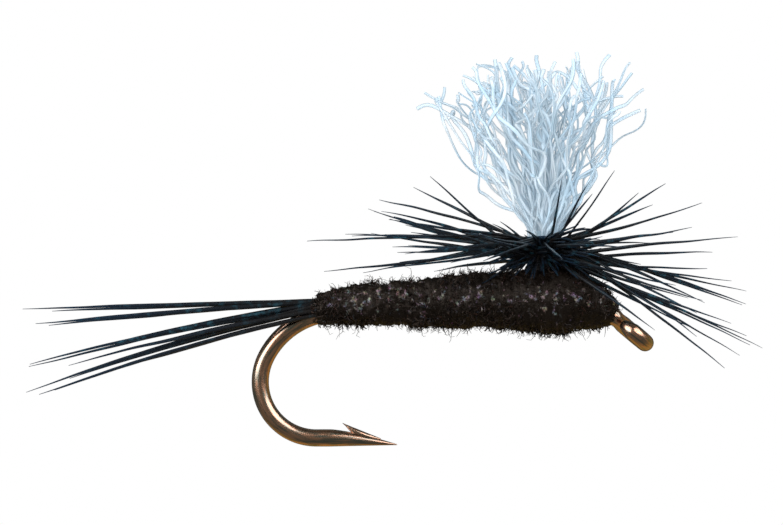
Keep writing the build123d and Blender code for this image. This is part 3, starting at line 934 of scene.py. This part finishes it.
# barbs that stand away from the rest: bearing from the eye and rise in degrees, then reach
stray_barbs = [
    (180, 41, 2.64), (172, 17, 3.15), (186, 15, 3.4), (176, -7, 4.25), (-176, 0, 4.55), (168, 8, 3.9),
    (8, 37, 2.18), (-4, 32, 2.64), (2, 23, 2.15), (-10, 15, 3.1), (4, 3, 3.25), (-6, 11, 2.45),
    (-12, 54, 2.05), (-30, 58, 1.6), (-60, 72, 1.4), (0, -3, 3.1), (-8, -8, 3.65), (6, -12, 4.05),
    (-4, -17, 4.1), (5, -19, 4.1), (3, -23, 4.66), (-7, -25, 4.4), (-3, -30, 4.35), (6, -36, 4.35),
    (-30, -24, 3.6), (-42, -28, 3.0), (-22, -20, 4.1), (-35, -16, 3.7), (-28, -30, 3.7), (-18, -22, 3.4),
    (-14, -26, 3.2), (-20, -17, 3.0),
]
quill_line = winding(
    quill_start, quill_end, quill_ring, quill_ring, hackle_turns, quill_dia, Vector((1, 0, 0)),
)
quill_piece = grown("hackle_quill_wound", guide_lines("quill", [quill_line]), fibres_along_guides, {
    "Steps": 200, "Sides": 10, "Flatness": 0.8, "Crinkle length": 1.0, "Material": barb_finish,
})
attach(quill_piece, "root")
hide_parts("hackle_quill")
refinish("hackle_stem_butt", barb_finish)
hackle_dice = random.Random(12)


def barb_line(root_height, bearing, rise, reach, root_dia=barb_root_dia):
    """One barb out from the quill, a little bowed, and straighter out to the two sides."""
    outward = Vector((cos(bearing), sin(bearing), 0))
    root = Vector((post_x, 0, root_height)) + outward * quill_ring
    curl = 1 - 0.85 * abs(sin(bearing))
    aside = Vector((-sin(bearing), cos(bearing), 0)) * (curl * hackle_dice.uniform(-0.5, 0.5))
    bow = curl * hackle_dice.uniform(-0.5, 0.7)
    line = []
    for k in range(9):
        share = k / 8
        girth = root_dia + (barb_tip_dia - root_dia) * share**barb_taper
        flight = outward * (cos(rise) * reach * share) + Vector((0, 0, sin(rise) * reach * share))
        bend = (Vector((0, 0, bow)) + aside) * (share * (1 - share) * 0.8)
        line.append((root + flight + bend + aside * share**2 * 0.4, girth))
    return line


for turn in range(hackle_turns):
    low_z = quill_start.z + (quill_end.z - quill_start.z) * turn / hackle_turns
    high_z = quill_start.z + (quill_end.z - quill_start.z) * (turn + 1) / hackle_turns
    barbs = []
    for k in range(barbs_per_turn):
        bearing = 2 * pi * (k + hackle_dice.uniform(0, 1)) / barbs_per_turn
        if cos(bearing) > 0.2 and hackle_dice.random() < front_gaps:
            continue
        height = low_z + (high_z - low_z) * k / barbs_per_turn
        scatter = rear_scatter + (front_scatter - rear_scatter) * (1 + cos(bearing)) / 2
        rise = hackle_dice.gauss(0, 0.95) * scatter - hackle_tilt * cos(bearing)
        if abs(sin(bearing)) > 0.6:
            rise *= side_scatter
        reach = barb_reach * hackle_dice.uniform(0.72, 1.0)
        reach -= 3 * rise * max(cos(bearing), 0) + 2 * abs(rise) * max(-cos(bearing), 0)
        barbs.append(barb_line(height, bearing, rise, reach))
    for k in range(webs_per_turn):
        bearing = hackle_dice.uniform(0, 2 * pi)
        rise = radians(hackle_dice.uniform(-55, 12) + 9 * turn)
        if abs(sin(bearing)) > 0.6:
            rise *= side_scatter
        height = hackle_dice.uniform(low_z, high_z)
        barbs.append(barb_line(height, bearing, rise, hackle_dice.uniform(0.4, 1.3), web_dia))
    for k in range(foot_webs if turn < foot_turns else 0):
        bearing = hackle_dice.uniform(0, 2 * pi)
        rise = radians(hackle_dice.uniform(-42, -8))
        barbs.append(barb_line(low_z, bearing, rise, hackle_dice.uniform(0.35, 0.95), web_dia))
    for stray in stray_barbs[turn::hackle_turns]:
        root_dia = steep_dia if stray[1] > steep_rise else barb_root_dia
        barbs.append(barb_line(low_z, radians(stray[0]), radians(stray[1]), stray[2], root_dia))
    label = f"hackle_barbs_turn_{turn + 1}"
    barb_piece = grown(f"{label}_dyed", guide_lines(label, barbs), fibres_along_guides, {
        "Steps": 40, "Sides": 8, "Flatness": 0.75, "Twist": 2.5, "Own crinkle": 0.12,
        "Crinkle length": 1.4, "Material": barb_finish,
    })
    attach(barb_piece, "root")
    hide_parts(label)

# ---- Head ---------------------------------------------------------------------------------
# The thread is built into a small cone behind the eye, whip finished, and sealed with a skin of
# clear head cement.

head_low, head_high = box_of("head_wraps")
head_rear_radius = (head_high.z - head_low.z - thread_dia) / 2
head_front_radius = 0.2025
head_crowding = 1.15  # times the number of turns that would lie side by side
head_turns = (head_high.x - head_low.x) / thread_dia * head_crowding
head_thread = wound_thread(
    "head_thread", "head", Vector((head_low.x, 0, shank_z)), Vector((head_high.x, 0, shank_z)),
    head_rear_radius, head_front_radius, head_turns, Vector((0, 0, 1)),
)
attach(head_thread, "root")
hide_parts("head_wraps")


def head_cement():
    """Clear varnish over black thread, which reads as wet black gloss."""
    constants = {"Coat Weight": 1, "Coat Roughness": 0.04, "Specular IOR Level": 0.7}
    material, tree, shader = new_material("head_cement", constants)
    runs = noise(tree, millimetres(tree), 7)
    colour = tree.blend(runs, (0.006, 0.005, 0.005, 1), (0.018, 0.013, 0.012, 1))
    bump = tree.add("ShaderNodeBump", values={"Strength": 0.3, "Distance": 1e-5, "Height": runs})
    tree.feed(shader, {"Base Color": colour, "Roughness": runs * 0.2 + 0.15, "Normal": bump})
    return material


refinish("head_cement", head_cement())
